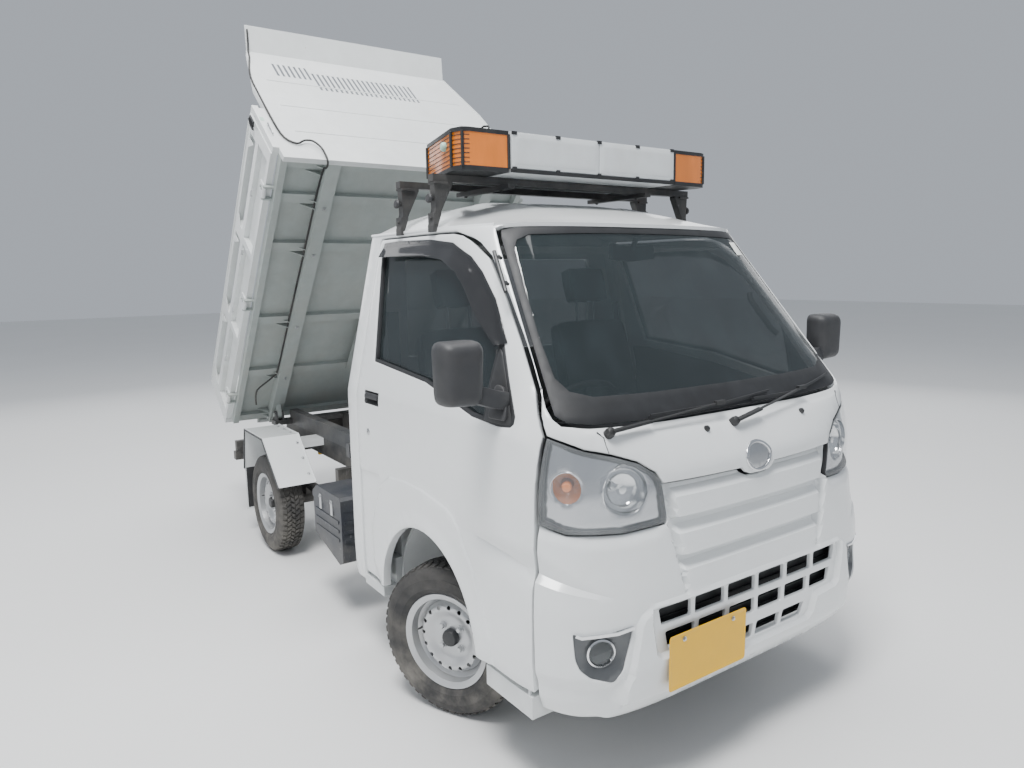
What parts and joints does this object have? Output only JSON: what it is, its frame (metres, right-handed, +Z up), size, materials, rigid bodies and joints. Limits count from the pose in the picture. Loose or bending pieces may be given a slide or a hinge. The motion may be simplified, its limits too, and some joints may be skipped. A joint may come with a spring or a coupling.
{
  "type": "kei tipper truck",
  "caption": "Small forward-control truck with a hydraulic tipping bed, drop sides, a high headboard and a roof sign; doors, gates, bed, steering and wheels move.",
  "frame": {"origin": "centre of the truck on the ground", "axes": "+X forward, +Y to the truck's left, +Z up"},
  "size_m": [3.6236, 1.8212, 2.8277],
  "materials": {
    "white_paint": "gloss, lightly weathered",
    "black_steel": "satin, dusty",
    "engine_metal": "rough",
    "bare_steel": "dull",
    "black_plastic": "grained",
    "dark_plastic": "grained",
    "clear_glass": "clear, faint green tint",
    "lamp_lens": "clear moulded",
    "plate_yellow": "satin",
    "seat_fabric": "woven",
    "sign_panel": "satin translucent",
    "tyre_rubber": "matt",
    "silver_steel": "silver paint",
    "bed_grey": "dull, dusty",
    "hoist_paint": "satin",
    "chrome_rod": "polished"
  },
  "bodies": {
    "cab_and_chassis": {"ladder_frame": "black_steel", "engine": "engine_metal", "rear_axle": "black_steel", "front_suspension": "black_steel", "propeller_shaft": "bare_steel", "exhaust": "bare_steel", "fuel_tank": "black_plastic", "battery_box": "black_plastic", "rear_fenders": "white_paint", "rear_bumper": "black_plastic", "hoist_frame": "black_steel", "cab_floor": "white_paint", "cab_back_panel": "white_paint", "cab_roof": "white_paint", "cab_glass": "clear_glass", "front_panel": "white_paint", "front_bumper": "white_paint", "front_lamps": "lamp_lens", "licence_plates": "plate_yellow", "wipers": "black_plastic", "dashboard": "dark_plastic", "seats": "seat_fabric", "roof_rack": "black_plastic", "sign_box": "sign_panel"},
    "steering_wheel": {"steering_wheel": "black_plastic"},
    "door_right": {"door_right": "white_paint", "door_glass_right": "clear_glass", "mirror_right": "black_plastic"},
    "door_left": {"door_left": "white_paint", "door_glass_left": "clear_glass", "mirror_left": "black_plastic"},
    "knuckle_right": {"knuckle_right": "bare_steel"},
    "knuckle_left": {"knuckle_left": "bare_steel"},
    "wheel_front_right": {"tyre_front_right": "tyre_rubber", "rim_front_right": "silver_steel"},
    "wheel_front_left": {"tyre_front_left": "tyre_rubber", "rim_front_left": "silver_steel"},
    "wheel_rear_right": {"tyre_rear_right": "tyre_rubber", "rim_rear_right": "silver_steel"},
    "wheel_rear_left": {"tyre_rear_left": "tyre_rubber", "rim_rear_left": "silver_steel"},
    "bed": {"bed_floor": "bed_grey", "headboard": "white_paint", "bed_cable": "black_plastic"},
    "side_gate_right": {"side_gate_right": "white_paint"},
    "side_gate_left": {"side_gate_left": "white_paint"},
    "tailgate": {"tailgate": "white_paint"},
    "hoist_cylinder": {"hoist_cylinder": "hoist_paint"},
    "hoist_rod": {"hoist_rod": "chrome_rod"}
  },
  "joints": [
    {"name": "steer", "type": "hinge", "parent": "cab_and_chassis", "child": "knuckle_right", "pos_m": [1.02512, -0.585, 0.267], "axis": [0, 0, 1], "range_deg": [-60, 12]},
    {"name": "steer_left", "type": "hinge", "parent": "cab_and_chassis", "child": "knuckle_left", "pos_m": [1.02512, 0.585, 0.267], "axis": [0, 0, 1], "range_deg": [-60, 12]},
    {"name": "steering_wheel_turn", "type": "hinge", "parent": "cab_and_chassis", "child": "steering_wheel", "pos_m": [1.53012, -0.33, 0.8], "axis": [-0.7431, 0, 0.6691], "range_deg": [-960, 192]},
    {"name": "wheel_front_right_spin", "type": "hinge", "parent": "knuckle_right", "child": "wheel_front_right", "pos_m": [1.05259, -0.64391, 0.267], "axis": [-0.4226, 0.9063, 0], "continuous": true},
    {"name": "wheel_front_left_spin", "type": "hinge", "parent": "knuckle_left", "child": "wheel_front_left", "pos_m": [0.99765, 0.64391, 0.267], "axis": [-0.4226, 0.9063, 0], "continuous": true},
    {"name": "wheel_rear_right_spin", "type": "hinge", "parent": "cab_and_chassis", "child": "wheel_rear_right", "pos_m": [-0.87488, -0.645, 0.267], "axis": [0, 1, 0], "continuous": true},
    {"name": "wheel_rear_left_spin", "type": "hinge", "parent": "cab_and_chassis", "child": "wheel_rear_left", "pos_m": [-0.87488, 0.645, 0.267], "axis": [0, 1, 0], "continuous": true},
    {"name": "door_right_swing", "type": "hinge", "parent": "cab_and_chassis", "child": "door_right", "pos_m": [1.59112, -0.718, 0.34], "axis": [0, 0, 1], "range_deg": [0, 65]},
    {"name": "door_left_swing", "type": "hinge", "parent": "cab_and_chassis", "child": "door_left", "pos_m": [1.59112, 0.718, 0.34], "axis": [0, 0, -1], "range_deg": [0, 65]},
    {"name": "bed_tilt", "type": "hinge", "parent": "cab_and_chassis", "child": "bed", "pos_m": [-1.37488, 0, 0.66], "axis": [0, -1, 0], "range_deg": [-50.5, 0]},
    {"name": "cylinder_swing", "type": "hinge", "parent": "cab_and_chassis", "child": "hoist_cylinder", "pos_m": [-1.29488, 0, 0.47], "axis": [0, -1, 0], "range_deg": [-44.56, 0.1]},
    {"name": "rod_slide", "type": "slide", "parent": "hoist_cylinder", "child": "hoist_rod", "axis": [0.4058, 0, 0.914], "range_m": [-0.16493, 0.0005]},
    {"name": "side_gate_right_drop", "type": "hinge", "parent": "bed", "child": "side_gate_right", "pos_m": [-0.9316, -0.742, 1.33137], "axis": [0.6361, 0, 0.7716], "range_deg": [0, 175]},
    {"name": "side_gate_left_drop", "type": "hinge", "parent": "bed", "child": "side_gate_left", "pos_m": [-0.9316, 0.742, 1.33137], "axis": [-0.6361, 0, -0.7716], "range_deg": [0, 175]},
    {"name": "tailgate_drop", "type": "hinge", "parent": "bed", "child": "tailgate", "pos_m": [-1.53079, 0, 0.6045], "axis": [0, -1, 0], "range_deg": [0, 90]}
  ],
  "couplings": [
    {"joint": "steer_left", "follows": "steer", "ratio": 1},
    {"joint": "steering_wheel_turn", "follows": "steer", "ratio": 16},
    {"joint": "cylinder_swing", "follows": "bed_tilt", "ratio": 0.88048},
    {"joint": "rod_slide", "follows": "bed_tilt", "m_per_rad": 0.18656}
  ]
}
